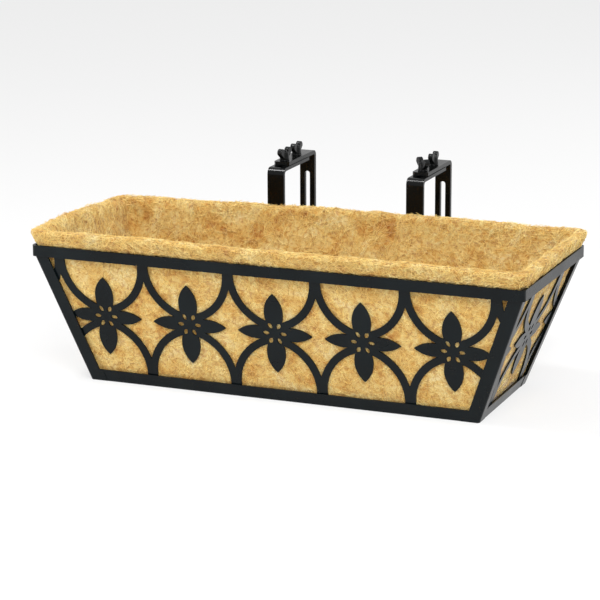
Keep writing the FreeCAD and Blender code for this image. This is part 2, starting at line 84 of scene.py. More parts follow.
def add(tree, kind, values=None, links=None, stops=(), **settings):
    """A node with settings, socket values, links from other sockets and ramp stops."""
    item = tree.nodes.new(kind)
    for key, value in settings.items():
        setattr(item, key, value)
    for key, value in (values or {}).items():
        item.inputs[key].default_value = value
    for key, source in (links or {}).items():
        tree.links.new(source, item.inputs[key])
    if stops:
        elements = item.color_ramp.elements
        while len(elements) < len(stops):
            elements.new(0.5)
        for element, (place, tint) in zip(elements, stops):
            element.position = place
            element.color = tint
    return item


def new_material(name):
    """An empty node material; returns it with its tree."""
    material = bpy.data.materials.new(name)
    material.use_nodes = True
    material.node_tree.nodes.clear()
    return material, material.node_tree


def finish_material(tree, shader):
    add(tree, "ShaderNodeOutputMaterial", links={"Surface": shader.outputs[0]})


print("white is", colour("#ffffff"))

# %% [markdown]
# ## Meshes
# Pieces are worked out in millimetres, which read like a drawing, and become
# metres only here. Modifiers do the rounding and joining, and are then made
# part of the mesh, so that what is seen is also what is exported.

# %% Mesh helpers
def mesh_object(name, points, faces, smooth=True):
    """A mesh object in metres from points in millimetres, in the faces' order."""
    mesh = bpy.data.meshes.new(name)
    mesh.from_pydata([Vector(p) * MM for p in points], [], faces)
    mesh.validate()
    mesh.update()
    if smooth:
        mesh.shade_smooth()
    obj = bpy.data.objects.new(name, mesh)
    bpy.context.scene.collection.objects.link(obj)
    return obj


def apply_modifiers(obj):
    """Make the object's mesh what its modifiers show, and drop them."""
    graph = bpy.context.evaluated_depsgraph_get()
    graph.update()
    made = bpy.data.meshes.new_from_object(obj.evaluated_get(graph))
    obj.modifiers.clear()
    obj.data = made
    return obj


print("one unit is a metre, and points are scaled by", MM)

# %% [markdown]
# ## Painted steel
# The basket is powder coated: polyester powder is sprayed on and baked, which
# leaves a satin skin with a fine orange peel. Two noises make it. A slow one,
# 60 mm across, moves the colour and the roughness a little along the bars. The
# peel is about a millimetre across and goes into the bump. The brackets have a
# blacker and smoother coat. The bolts, washers and nuts are plated with black
# zinc, which is thinner, greyer and has a finer grain.

# %% Steel materials
CLOUD = 60.0                            # size of the slow change along a bar
PEEL_DEPTH = 0.1


def coated_steel(name, dark, light, rough, shine, peel, peel_size):
    """Black coated steel; the peel's size is in millimetres."""
    material, tree = new_material(name)
    place = add(tree, "ShaderNodeTexCoord").outputs["Object"]
    cloud = add(tree, "ShaderNodeTexNoise", {"Scale": 1 / (CLOUD * MM), "Detail": 3.0},
                {"Vector": place})
    skin = add(tree, "ShaderNodeTexNoise", {"Scale": 1 / (peel_size * MM), "Detail": 2.0},
               {"Vector": place})
    tint = add(tree, "ShaderNodeValToRGB", links={"Fac": cloud.outputs["Fac"]},
               stops=[(0.3, colour(dark)), (0.7, colour(light))])
    spread = add(tree, "ShaderNodeMapRange",
                 {"From Min": 0.3, "From Max": 0.7, "To Min": rough - 0.05,
                  "To Max": rough + 0.07}, {"Value": cloud.outputs["Fac"]})
    bump = add(tree, "ShaderNodeBump", {"Strength": peel, "Distance": PEEL_DEPTH * MM},
               {"Height": skin.outputs["Fac"]})
    shader = add(tree, "ShaderNodeBsdfPrincipled", {"Specular IOR Level": shine},
                 {"Base Color": tint.outputs["Color"], "Roughness": spread.outputs["Result"],
                  "Normal": bump.outputs["Normal"]})
    finish_material(tree, shader)
    return material


basket_paint = coated_steel("powder_coated_steel", "#04090b", "#0a1215",
                            rough=0.28, shine=0.18, peel=0.3, peel_size=1.1)
bracket_paint = coated_steel("powder_coated_bracket_steel", "#040505", "#080909",
                             rough=0.22, shine=0.2, peel=0.2, peel_size=1.0)
fastener_paint = coated_steel("black_zinc_fastener_steel", "#060707", "#0d0f10",
                              rough=0.3, shine=0.22, peel=0.2, peel_size=0.6)
print("steel finishes", basket_paint.name, bracket_paint.name, fastener_paint.name)

# %% [markdown]
# ## Soft edges on the CAD pieces
# Sheared bar and cut plate have small edge radii once they are coated. A bevel
# of a few tenths of a millimetre catches the light along every edge. The mesh
# itself isn't touched: the bevel is a modifier.

# %% Dress the CAD nodes
SHARP = math.radians(28.0)              # a turn in the surface that counts as an edge
BAR_EDGE, PLATE_EDGE = 0.5, 0.35


def dress(node_name, material, radius, segments):
    """Give a CAD node its paint and soft edges."""
    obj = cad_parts[node_name]
    obj.data.materials.clear()
    obj.data.materials.append(material)
    bevel = obj.modifiers.new("coated_edge", "BEVEL")
    bevel.width = radius * MM
    bevel.segments = segments
    bevel.limit_method = "ANGLE"
    bevel.angle_limit = SHARP
    bevel.harden_normals = True
    bevel.use_clamp_overlap = True


dressed = 0
for node_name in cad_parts:
    if node_name.startswith(("hook_bolt", "washer", "wing_nut", "coir")):
        continue                        # drawn again below
    if node_name.startswith(("strap", "hook_plate")):
        dress(node_name, bracket_paint, BAR_EDGE, 3)
    elif node_name.startswith("lattice"):
        dress(node_name, basket_paint, PLATE_EDGE, 2)
    else:
        dress(node_name, basket_paint, BAR_EDGE, 3)
    dressed += 1
print("dressed", dressed, "of", len(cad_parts), "CAD nodes")

# %% [markdown]
# ## Bolts and washers
# They are turned, so they are drawn again with round sides. A coach bolt has a
# domed head, a square neck that keeps it from turning in the slot, and a thread.
# It is one skin of rings, and the thread comes from a radius that follows the
# helix round. Each piece takes its place from the box of its own node.

# %% Turned pieces
BOLT_RADIUS, BOLT_HEAD_RADIUS, BOLT_HEAD, BOLT_NECK = 3.0, 6.6, 3.0, 6.0
BOLT_PLAIN = 4.0                        # smooth length above the head, as long as the neck
BORE_RADIUS, WASHER_RADIUS = 3.3, 6.1
THREAD_PITCH, THREAD_DEPTH, THREAD_STEPS = 1.0, 0.45, 8


def spot(node_name):
    """Middle of a node across X and Y, and its lowest and highest z, in mm."""
    low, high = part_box(node_name)
    x, y = [(low[i] + high[i]) / 2 / MM for i in (0, 1)]
    return x, y, low[2] / MM, high[2] / MM


def turned(name, x, y, rings, closed=False, sides=32):
    """A skin round an upright axis; rings are (z, radius or radius by turn)."""
    points, faces = [], []
    for z, radius in rings:
        for i in range(sides):
            a = 2 * math.pi * i / sides
            r = radius(i / sides) if callable(radius) else radius
            points.append((x + r * math.cos(a), y + r * math.sin(a), z))
    rows = len(rings)
    for row in range(rows if closed else rows - 1):
        for i in range(sides):
            j = (i + 1) % sides
            a, b = row * sides, (row + 1) % rows * sides
            faces.append((a + i, a + j, b + j, b + i))
    if not closed:
        faces.append(tuple(reversed(range(sides))))
        faces.append(tuple(range((rows - 1) * sides, rows * sides)))
    return mesh_object(name, points, faces)


def thread_radius(z):
    """Radius round the bolt at height z: a helix of V grooves."""
    def radius(turn):
        phase = (z / THREAD_PITCH - turn) % 1.0
        return BOLT_RADIUS - THREAD_DEPTH * (1 - abs(2 * phase - 1))
    return radius


def square_neck(name, x, y, low, high):
    """The bolt's neck: a small block with softened edges."""
    half = BOLT_NECK / 2
    corners = [(x + a * half, y + b * half, z) for z in (low, high)
               for a, b in ((-1, -1), (1, -1), (1, 1), (-1, 1))]
    sides = [(3, 2, 1, 0), (4, 5, 6, 7), (0, 1, 5, 4), (1, 2, 6, 5), (2, 3, 7, 6), (3, 0, 4, 7)]
    neck = mesh_object("bolt_neck_" + name, corners, sides, smooth=False)
    soften = neck.modifiers.new("edges", "BEVEL")
    soften.width = 0.5 * MM
    soften.segments = 2
    return apply_modifiers(neck)


def coach_bolt(name):
    """A bolt and its neck, from the underside of the head upwards."""
    x, y, low, high = spot("hook_bolt_" + name)
    seat = low + BOLT_HEAD
    rings = []
    for step in range(9):               # the dome, from near its middle to its edge
        a = math.radians(10 + 80 * step / 8)
        rings.append((low + BOLT_HEAD * 0.85 * (1 - math.cos(a)),
                      BOLT_HEAD_RADIUS * math.sin(a) ** 0.8))
    rings += [(seat - 0.2, BOLT_HEAD_RADIUS), (seat, BOLT_HEAD_RADIUS - 0.3),
              (seat, BOLT_RADIUS)]
    smooth_end = seat + BOLT_PLAIN
    rings.append((smooth_end, BOLT_RADIUS))
    count = int((high - 1.0 - smooth_end) / THREAD_PITCH * THREAD_STEPS)
    for step in range(1, count + 1):
        z = smooth_end + step * THREAD_PITCH / THREAD_STEPS
        rings.append((z, thread_radius(z)))
    rings += [(high - 0.6, BOLT_RADIUS - 0.5), (high, BOLT_RADIUS - 0.9)]
    bolt = turned("coach_bolt_" + name, x, y, rings)
    return [bolt, square_neck(name, x, y, seat - 0.1, seat + BOLT_PLAIN)]


def washer(name):
    """A punched ring, rounded on the side where the punch went in."""
    x, y, low, high = spot("washer_" + name)
    rings = [(low, BORE_RADIUS + 0.1), (low, WASHER_RADIUS - 0.15), (low + 0.15, WASHER_RADIUS),
             (high - 0.3, WASHER_RADIUS), (high, WASHER_RADIUS - 0.35),
             (high, BORE_RADIUS + 0.2)]
    return turned("round_washer_" + name, x, y, rings, closed=True)


print("thread of pitch %.1f mm, %d rings to a turn" % (THREAD_PITCH, THREAD_STEPS))

# %% [markdown]
# ## Cast wing nuts
# A cast nut has no sharp edge. Its hub is turned, its two ears are flat outlines
# given a thickness, and a voxel remesh joins them as the mould does. Smoothing
# then rounds the roots. The ears start outside the bore, so it stays open.

# %% Cast wing nut
EAR_RADIUS, EAR_THICK, EAR_ROOT = 4.7, 6.0, 4.2
WING_REACH, WING_HEIGHT = 13.8, 14.4
HUB_HEIGHT, HUB_FOOT, HUB_TOP = 9.4, 6.0, 5.3
CAST_VOXEL = 0.34
NUT_TURNS = {"left_front": 84.0, "left_rear": 90.0, "right_front": 134.0, "right_rear": 92.0}


def wing_outline(sign):
    """One ear seen flat: out along a slope, round the ear, back to the hub."""
    ear_u, ear_v = WING_REACH - EAR_RADIUS, WING_HEIGHT - EAR_RADIUS
    outline = [(EAR_ROOT, 1.8), (5.6, 1.8), (9.4, 4.4), (WING_REACH - 0.5, ear_v - 2.0)]
    for step in range(9):
        a = math.radians(-10 + 190 * step / 8)
        outline.append((ear_u + EAR_RADIUS * math.cos(a), ear_v + EAR_RADIUS * math.sin(a)))
    outline += [(5.2, 11.8), (4.4, 10.4), (EAR_ROOT, 7.4)]
    points = [(sign * u, v) for u, v in outline]
    return points if sign > 0 else points[::-1]


def add_ear(build, outline):
    """Close an ear's outline into a flat block of the ear's thickness."""
    front = [build.verts.new(Vector((u, -EAR_THICK / 2, v)) * MM) for u, v in outline]
    back = [build.verts.new(v.co + Vector((0, EAR_THICK, 0)) * MM) for v in front]
    build.faces.new(front)
    build.faces.new(back[::-1])
    for i in range(len(front)):
        j = (i + 1) % len(front)
        build.faces.new((front[j], front[i], back[i], back[j]))


def cast_wing_nut(name):
    """A wing nut at the turn at which it was tightened."""
    x, y, low, high = spot("wing_nut_" + name)
    hub = turned("cast_wing_nut_" + name, 0, 0, [
        (0.0, BORE_RADIUS), (0.0, HUB_FOOT - 0.4), (0.5, HUB_FOOT), (HUB_HEIGHT - 0.6, HUB_TOP),
        (HUB_HEIGHT, HUB_TOP - 0.5), (HUB_HEIGHT, BORE_RADIUS)], closed=True)
    build = bmesh.new()
    build.from_mesh(hub.data)
    for sign in (-1, 1):
        add_ear(build, wing_outline(sign))
    build.to_mesh(hub.data)
    build.free()
    remesh = hub.modifiers.new("cast", "REMESH")
    remesh.mode = "VOXEL"
    remesh.voxel_size = CAST_VOXEL * MM
    remesh.use_smooth_shade = True
    soften = hub.modifiers.new("mould", "SMOOTH")
    soften.factor = 0.5
    soften.iterations = 5
    apply_modifiers(hub)
    hub.data.transform(Matrix.Translation(Vector((x, y, low)) * MM)
                       @ Matrix.Rotation(math.radians(NUT_TURNS[name]), 4, "Z"))
    return hub


print("a wing nut is", 2 * WING_REACH, "mm across")

# %% [markdown]
# ## Put the fasteners in their places
# Each drawn piece stands for its CAD node. Bolts and washers move with the hook
# plate, and each nut has a body of its own, since it turns.

# %% Four sets of fasteners
fastener_pieces = 0
for name, turn in NUT_TURNS.items():
    side = name.split("_")[0]
    for piece in coach_bolt(name):
        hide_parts("hook_bolt_" + name)
        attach(piece, "hook_" + side)
        piece.data.materials.append(fastener_paint)
        fastener_pieces += 1
    ring = washer(name)
    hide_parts("washer_" + name)
    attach(ring, "hook_" + side)
    nut = cast_wing_nut(name)
    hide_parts("wing_nut_" + name)
    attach(nut, "nut_" + name)
    for piece in (ring, nut):
        piece.data.materials.append(fastener_paint)
        fastener_pieces += 1
    print(name, "nut turned by", turn, "degrees,", len(nut.data.polygons), "faces")
print("fastener pieces", fastener_pieces)

# %% [markdown]
# ## Weld beads
# The straps are welded to the rim and to the back rail along their edges. A
# bead is a thin rippled roll, thick in the middle, that runs out at both ends,
# with one ripple for each pause of the torch.

# %% Beads beside the straps
BEAD_RADIUS, BEAD_RIPPLE, BEAD_DEPTH = 1.5, 1.4, 0.12
BEAD_SIDES, BEAD_STEPS = 10, 26
STRAP_EDGE, BEAD_OUT = 11.4, 0.4        # a bead's middle beside the strap, and off the bar


def weld_bead(points, faces, start, end):
    """Add one rippled roll from start to end, in mm, to the lists."""
    along = (end - start).normalized()
    across = along.cross(Vector((1, 0, 0))).normalized()
    beside = along.cross(across)
    ripples = (end - start).length / BEAD_RIPPLE
    first = len(points)
    for step in range(BEAD_STEPS + 1):
        t = step / BEAD_STEPS
        swell = max(0.05, math.sin(math.pi * t)) ** 0.35
        r = BEAD_RADIUS * swell * (1 + BEAD_DEPTH * math.cos(2 * math.pi * t * ripples))
        for i in range(BEAD_SIDES):
            a = 2 * math.pi * i / BEAD_SIDES
            points.append(start.lerp(end, t) + across * r * math.cos(a)
                          + beside * r * math.sin(a))
    for step in range(BEAD_STEPS):
        for i in range(BEAD_SIDES):
            a = first + step * BEAD_SIDES + i
            b = first + step * BEAD_SIDES + (i + 1) % BEAD_SIDES
            faces.append((a, b, b + BEAD_SIDES, a + BEAD_SIDES))
    last = first + BEAD_STEPS * BEAD_SIDES
    faces.append(tuple(first + i for i in reversed(range(BEAD_SIDES))))
    faces.append(tuple(last + i for i in range(BEAD_SIDES)))


back_rail = Vector(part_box("base_rail_back")[1]) / MM
rim_y = HALF_D + BEAD_OUT
bead_points, bead_faces = [], []
for strap in (-STRAP_X, STRAP_X):
    for edge in (-STRAP_EDGE, STRAP_EDGE):
        x = strap + edge
        weld_bead(bead_points, bead_faces, Vector((x, rim_y, RIM_BOTTOM + 1.5)),
                  Vector((x, rim_y, RIM_TOP - 1.5)))
        weld_bead(bead_points, bead_faces,
                  Vector((x, back_rail.y - FRONT_SLOPE * 10.5 + BEAD_OUT, 3.5)),
                  Vector((x, back_rail.y - FRONT_SLOPE * 1.5 + BEAD_OUT, 12.5)))
beads = mesh_object("strap_weld_beads", bead_points, bead_faces)
beads.data.materials.append(basket_paint)
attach(beads, "basket")
print("weld beads", len(bead_faces), "faces")

# %% [markdown]
# ## Coir
# Coir is coconut husk fibre, laid at random, sprayed with latex and pressed to
# shape. It is golden, with rust-brown clumps where husk is left. A slow noise,
# 30 mm across, makes the clumps, and a finer one the tufts. The mat and its loose
# fibres share both, so a fibre is as light or as brown as the mat it lies on. The
# shade in the gaps between the strands is painted into the mat's colour.

# %% Coir colour
CLUMP, TUFT = 30.0, 6.0


def coir_tone(tree, place):
    """Colour over the mat, from two noises in object space."""
    clump = add(tree, "ShaderNodeTexNoise",
                {"Scale": 1 / (CLUMP * MM), "Detail": 5.0, "Roughness": 0.68, "Distortion": 0.8},
                {"Vector": place})
    base = add(tree, "ShaderNodeValToRGB", links={"Fac": clump.outputs["Fac"]}, stops=[
        (0.3, colour("#d09a48")), (0.43, colour("#f0cf78")),
        (0.55, colour("#fae69a")), (0.72, colour("#fdf4c0"))])
    tuft = add(tree, "ShaderNodeTexNoise",
               {"Scale": 1 / (TUFT * MM), "Detail": 2.0, "Roughness": 0.7, "Distortion": 1.2},
               {"Vector": place})
    grain = add(tree, "ShaderNodeValToRGB", links={"Fac": tuft.outputs["Fac"]}, stops=[
        (0.37, colour("#b8803e")), (0.46, colour("#ecd094")), (0.55, colour("#ffffff"))])
    both = add(tree, "ShaderNodeMix", {"Factor": 0.58},
               {"A": base.outputs["Color"], "B": grain.outputs["Color"]},
               data_type="RGBA", blend_type="MULTIPLY")
    return both.outputs["Result"]


print("clumps of %.0f mm and tufts of %.0f mm" % (CLUMP, TUFT))

# %% [markdown]
# ## The surface of the mat
# A real strand is 0.2 to 0.4 mm thick, too fine to show from here, so the
# strands in the mat are drawn 2 to 3 mm wide. Three ridged noises, each turned
# and stretched its own way and bent by a slow noise, cross each other. Their
# ridges are the strands and rise in the bump. The shade in the gaps between
# them is painted into the colour, which is darker where the ridges are low.

# %% Coir mat material
STRANDS = (((0.3, 0.2, 0.5), 3.4, 5.0),     # turn, size in mm, stretch
           ((1.1, 0.4, -0.6), 2.6, 4.0),
           ((-0.5, 0.9, 1.4), 1.9, 3.0))
WARP, WARP_REACH, STRAND_HEIGHT = 22.0, 16.0, 1.2


def strand_height(tree, place):
    """How high the strands stand, from 0 in the gaps to 1."""
    heights = []
    for turn, size, stretch in STRANDS:
        warp = add(tree, "ShaderNodeTexNoise", {"Scale": 1 / (WARP * MM), "Detail": 1.0},
                   {"Vector": place})
        bent = add(tree, "ShaderNodeVectorMath", {"Scale": WARP_REACH * MM},
                   {0: warp.outputs["Color"]}, operation="SCALE")
        moved = add(tree, "ShaderNodeVectorMath", {}, {0: place, 1: bent.outputs[0]},
                    operation="ADD")
        leaning = add(tree, "ShaderNodeMapping",
                      {"Rotation": turn, "Scale": (1.0 / stretch, 1.0, 1.0)},
                      {"Vector": moved.outputs[0]})
        strand = add(tree, "ShaderNodeTexNoise",
                     {"Scale": 1 / (size * MM), "Detail": 2.0, "Roughness": 0.5},
                     {"Vector": leaning.outputs[0]}, noise_type="RIDGED_MULTIFRACTAL")
        heights.append(strand.outputs["Fac"])
    top = add(tree, "ShaderNodeMath", {}, {0: heights[0], 1: heights[1]}, operation="MAXIMUM")
    top = add(tree, "ShaderNodeMath", {}, {0: top.outputs[0], 1: heights[2]},
              operation="MAXIMUM")
    return add(tree, "ShaderNodeMapRange", {"From Min": 0.55, "From Max": 1.35},
               {"Value": top.outputs[0]}).outputs["Result"]


def coir_mat_material():
    """Pressed coir: matt, with a little sheen from the hairs."""
    material, tree = new_material("coir_fibre_mat")
    place = add(tree, "ShaderNodeTexCoord").outputs["Object"]
    tone = coir_tone(tree, place)
    raised = strand_height(tree, place)
    # Painted shade: the low gaps between the strands are coloured darker, standing in for the
    # shade that falls there.
    painted_gap_shade = add(tree, "ShaderNodeValToRGB", links={"Fac": raised}, stops=[
        (0.0, colour("#8c5c34")), (0.35, colour("#e6bd7e")), (0.66, colour("#ffffff"))])
    mixed = add(tree, "ShaderNodeMix", {"Factor": 0.5}, {"A": tone, "B": painted_gap_shade.outputs["Color"]},
                data_type="RGBA", blend_type="MULTIPLY")
    bump = add(tree, "ShaderNodeBump", {"Strength": 0.75, "Distance": STRAND_HEIGHT * MM},
               {"Height": raised})
    shader = add(tree, "ShaderNodeBsdfPrincipled",
                 {"Roughness": 0.88, "Specular IOR Level": 0.25, "Sheen Weight": 0.25,
                  "Sheen Roughness": 0.5},
                 {"Base Color": mixed.outputs["Result"], "Normal": bump.outputs["Normal"]})
    finish_material(tree, shader)
    return material


coir_mat = coir_mat_material()
print(coir_mat.name, "has", len(coir_mat.node_tree.nodes), "nodes")

# %% [markdown]
# ## The loose fibres' material
# Each fibre has its own shade, from rust brown to straw, read from a number
# that it carries, mixed into the tone of the mat below it. It is a little
# glossier than the mat, since a single husk fibre is smooth.

# %% Coir fibre material
def coir_fibre_material():
    """Single husk fibres, each of its own shade."""
    material, tree = new_material("coir_loose_fibre")
    place = add(tree, "ShaderNodeTexCoord").outputs["Object"]
    own = add(tree, "ShaderNodeAttribute", attribute_name="tone")
    shade = add(tree, "ShaderNodeValToRGB", links={"Fac": own.outputs["Fac"]}, stops=[
        (0.0, colour("#885428")), (0.25, colour("#c8934f")), (0.5, colour("#efca7a")),
        (0.8, colour("#f9e29a")), (1.0, colour("#feeebc"))])
    mixed = add(tree, "ShaderNodeMix", {"Factor": 0.34},
                {"A": coir_tone(tree, place), "B": shade.outputs["Color"]}, data_type="RGBA")
    shader = add(tree, "ShaderNodeBsdfPrincipled",
                 {"Roughness": 0.7, "Specular IOR Level": 0.3},
                 {"Base Color": mixed.outputs["Result"]})
    finish_material(tree, shader)
    return material


coir_fibre = coir_fibre_material()
print(coir_fibre.name, "has", len(coir_fibre.node_tree.nodes), "nodes")

# %% [markdown]
# ## The liner's outline
# The mat is a closed skin swept round a rounded rectangle. Its outside stays
# just behind the lattice plates and, higher up, inside the rim. Its inside
# leans a little differently, because the mat gets thicker towards the lip.

# %% Rings of the liner
N_LONG, N_SHORT = 150, 58               # points along a long and a short side
AROUND = 2 * (N_LONG + N_SHORT)
BEHIND_SIDE, BEHIND_FRONT = 4.9, 4.7    # from the basket's outside in to the mat
INSIDE_RIM_L, INSIDE_RIM_D = 6.1, 6.0
LIP_RISE, LIP_WALL = 19.5, 8.0
INNER_SIDE_SLOPE, INNER_FRONT_SLOPE = 0.3559, 0.2017


def mat_ring(half_x, half_y, radius):
    """Points round a rounded rectangle, from its front left corner."""
    points = []
    corners = [(-1, -1), (1, -1), (1, 1), (-1, 1)]
    for side in range(4):
        ax, ay = corners[side]
        bx, by = corners[(side + 1) % 4]
        is_long = side % 2 == 0
        steps = N_LONG if is_long else N_SHORT
        span = 2 * (half_x if is_long else half_y)
        for i in range(steps):
            t = i / steps
            x = half_x * (ax + (bx - ax) * t)
            y = half_y * (ay + (by - ay) * t)
            from_a, from_b = span * t, span * (1 - t)
            near = min(from_a, from_b)
            if near < radius:
                cx, cy = (ax, ay) if from_a < from_b else (bx, by)
                swing = (1 - near / radius) * math.pi / 4
                mx, my = cx * (half_x - radius), cy * (half_y - radius)
                ahead, aside = radius * math.sin(swing), radius * math.cos(swing)
                x = mx + cx * (ahead if is_long else aside)
                y = my + cy * (aside if is_long else ahead)
            points.append((x, y))
    return points


def outer_half(z):
    """Half length and depth of the mat's outside, below the lip."""
    x = min(BASE_L + SIDE_SLOPE * z - BEHIND_SIDE, HALF_L - INSIDE_RIM_L)
    y = min(BASE_D + FRONT_SLOPE * z - BEHIND_FRONT, HALF_D - INSIDE_RIM_D)
    return x, y


def inner_half(z):
    """Half length and depth of the mat's inside, from the floor to the lip."""
    below = RIM_TOP + LIP_RISE - z
    return (HALF_L - LIP_WALL - INNER_SIDE_SLOPE * below,
            HALF_D - LIP_WALL - INNER_FRONT_SLOPE * below)


print("mat at mid height: outside %.0f x %.0f, inside %.0f x %.0f"
      % (*outer_half(RIM_TOP / 2), *inner_half(RIM_TOP / 2)))

# %% [markdown]
# ## The liner as one moulded shell
# Ring by ring, the skin goes up the outside, over the thick rolled lip and down
# the inside. Each ring has as many points as the edge of a floor grid, so the
# grids that close it below and inside join with no loose edges.

# %% Liner shell
CORNER, LIP_CORNER = 9.0, 13.0
UNDERSIDE = ((3.9, 9.0), (4.6, 4.6), (6.6, 1.9), (10.0, 0.4), (15.0, 0.0))  # z, inset
WALL_FOOT, WALL_TOP, WALL_RINGS = 15.0, RIM_TOP - 2.0, 32
# The lip's profile, from outside to inside: rise over the rim's top, reach past its side.
LIP = ((0.6, -2.6), (2.4, -1.6), (5.0, -0.5), (8.0, 0.6), (11.0, 1.7), (13.6, 2.6),
       (15.8, 3.0), (17.3, 2.4), (18.3, 0.9), (18.7, -1.2), (18.7, -3.6), (18.3, -5.9),
       (17.4, -7.8), (16.0, -9.2), (14.2, -10.2))
INNER_TOP, INNER_RINGS, ROLL_RINGS = RIM_TOP + 12.4, 41, 5
FLOOR_Z, FLOOR_BEND = 12.6, 9.0
FLOOR_ROUND = ((5.0, 1.0), (2.2, 3.4), (0.6, 6.6), (0.0, 10.0))    # rise, inset

levels = []
for z, inset in UNDERSIDE:
    x, y = outer_half(z)
    levels.append((z, x - inset, y - inset, CORNER))
for k in range(1, WALL_RINGS + 1):
    z = WALL_FOOT + (WALL_TOP - WALL_FOOT) * k / WALL_RINGS
    levels.append((z, *outer_half(z), CORNER))
for rise, out in LIP:
    levels.append((RIM_TOP + rise, HALF_L + out, HALF_D + out, LIP_CORNER + out * 0.5))
for k in range(1, INNER_RINGS + 1):
    z = INNER_TOP - (INNER_TOP - FLOOR_Z - FLOOR_BEND) * k / INNER_RINGS
    x, y = inner_half(z)
    ease = max(0.0, 1 - k / ROLL_RINGS) * 1.2
    levels.append((z, x - ease, y - ease, CORNER))
for rise, inset in FLOOR_ROUND:
    x, y = inner_half(FLOOR_Z + rise)
    levels.append((FLOOR_Z + rise, x - inset, y - inset, CORNER))

points = [(px, py, z) for z, x, y, radius in levels for px, py in mat_ring(x, y, radius)]
faces = []
for level in range(len(levels) - 1):
    for i in range(AROUND):
        a, b = level * AROUND + i, level * AROUND + (i + 1) % AROUND
        faces.append((a, b, b + AROUND, a + AROUND))


def grid_edge(first, i, j):
    """Number of the ring's point at this place on a grid's edge, or None."""
    if j == 0:
        return first + i
    if i == N_LONG:
        return first + N_LONG + j
    if j == N_SHORT:
        return first + N_LONG + N_SHORT + (N_LONG - i)
    if i == 0:
        return first + AROUND - j
    return None


def grid_cap(first, z, flip):
    """Close a ring with a grid of quads whose edge is the ring itself."""
    where = {}
    for i in range(N_LONG + 1):
        for j in range(N_SHORT + 1):
            where[i, j] = grid_edge(first, i, j)
            if where[i, j] is not None:
                continue
            low, high = points[grid_edge(first, i, 0)], points[grid_edge(first, i, N_SHORT)]
            left, right = points[grid_edge(first, 0, j)], points[grid_edge(first, N_LONG, j)]
            x = left[0] + (right[0] - left[0]) * i / N_LONG
            x = 0.5 * (x + low[0] + (high[0] - low[0]) * j / N_SHORT)
            y = low[1] + (high[1] - low[1]) * j / N_SHORT
            y = 0.5 * (y + left[1] + (right[1] - left[1]) * i / N_LONG)
            where[i, j] = len(points)
            points.append((x, y, z))
    for i in range(N_LONG):
        for j in range(N_SHORT):
            quad = (where[i, j], where[i + 1, j], where[i + 1, j + 1], where[i, j + 1])
            faces.append(tuple(reversed(quad)) if flip else quad)


grid_cap(0, levels[0][0], True)
grid_cap((len(levels) - 1) * AROUND, levels[-1][0], False)
liner = mesh_object("coir_liner_mat", points, faces)
print("liner shell", len(points), "points", len(faces), "quads")

# %% [markdown]
# ## Lumps and waves in the mat
# Pressed fibre is never flat. Three sizes of smooth noise push the skin along
# its normals: freely on the lip and inside, but only inwards on the outside,
# where steel lies against it. The lip waves a little in height and has settled
# towards its back left corner, and it gives way to the two straps behind it.

# %% Lumps and waves
LUMPS = ((26.0, 3.1, 0.9), (9.0, 7.7, 0.55), (4.2, 1.3, 0.3))      # size, seed, strength
WAVES = ((46.0, 11.0, 1.2), (17.0, 5.0, 0.6))
SETTLED = 4.5
STRAP_CLEAR, STRAP_EASED = 11.8, 17.0   # from a strap's middle: pressed flat, free again


def soft_step(low, high, value):
    """From 0 below low to 1 above high, with no kinks."""
    t = min(1.0, max(0.0, (value - low) / (high - low)))
    return t * t * (3 - 2 * t)


def lump(p, size, seed):
    """Smooth noise at a point, with lumps of the given size in mm."""
    return noise.noise(Vector((p.x / size + seed, p.y / size, p.z / size - seed)))


def is_inside(x, y, z):
    """Whether a point of the mat is on its inner wall or its floor."""
    half_x, half_y = inner_half(z)
    return z > FLOOR_Z - 1 and abs(x) < half_x + 2 and abs(y) < half_y + 2


normals = [v.normal.copy() for v in liner.data.vertices]
for vertex, normal in zip(liner.data.vertices, normals):
    p = vertex.co / MM
    height = p.z - RIM_TOP
    on_lip = soft_step(1.0, 9.0, height)
    coarse = sum(lump(p, size, seed) * strength for size, seed, strength in LUMPS)
    inside = is_inside(*p)
    if on_lip > 0:
        flat = Vector((p.x, p.y, 0))
        wave = sum(lump(flat, size, seed) * strength for size, seed, strength in WAVES)
        sag = SETTLED * soft_step(20.0, 230.0, -p.x) * soft_step(-20.0, 100.0, p.y)
        p.z += (wave - sag) * on_lip * soft_step(4.0, 17.0, height)
    body = coarse if inside else min(0.0, coarse * 0.45 - 0.45)
    p += normal * (body * (1 - on_lip) + (coarse * 1.2 - 0.4) * on_lip)
    if p.y > HALF_D - 2 and height > 0.0:
        nearest = min(abs(p.x - STRAP_X), abs(p.x + STRAP_X))
        free = soft_step(STRAP_CLEAR, STRAP_EASED, nearest)
        p.y = min(p.y, (HALF_D - 1.2) * (1 - free) + p.y * free)
    if not inside and height < 0.5:
        p.z = max(p.z, 3.7)             # stays on the floor bars
    vertex.co = p * MM
liner.data.update()
liner.data.materials.append(coir_mat)
print("highest point of the lip at %.1f mm" % (max(v.co.z for v in liner.data.vertices) / MM))

# %% [markdown]
# ## Loose fibres: the tree's inputs
# Fibres repeat by the thousand, so a Geometry Nodes tree lays them. Its sizes
# are named inputs, and a fixed seed makes every run the same. "Mat" is the whole
# liner, which holds the fibres down even where a patch of it ends.

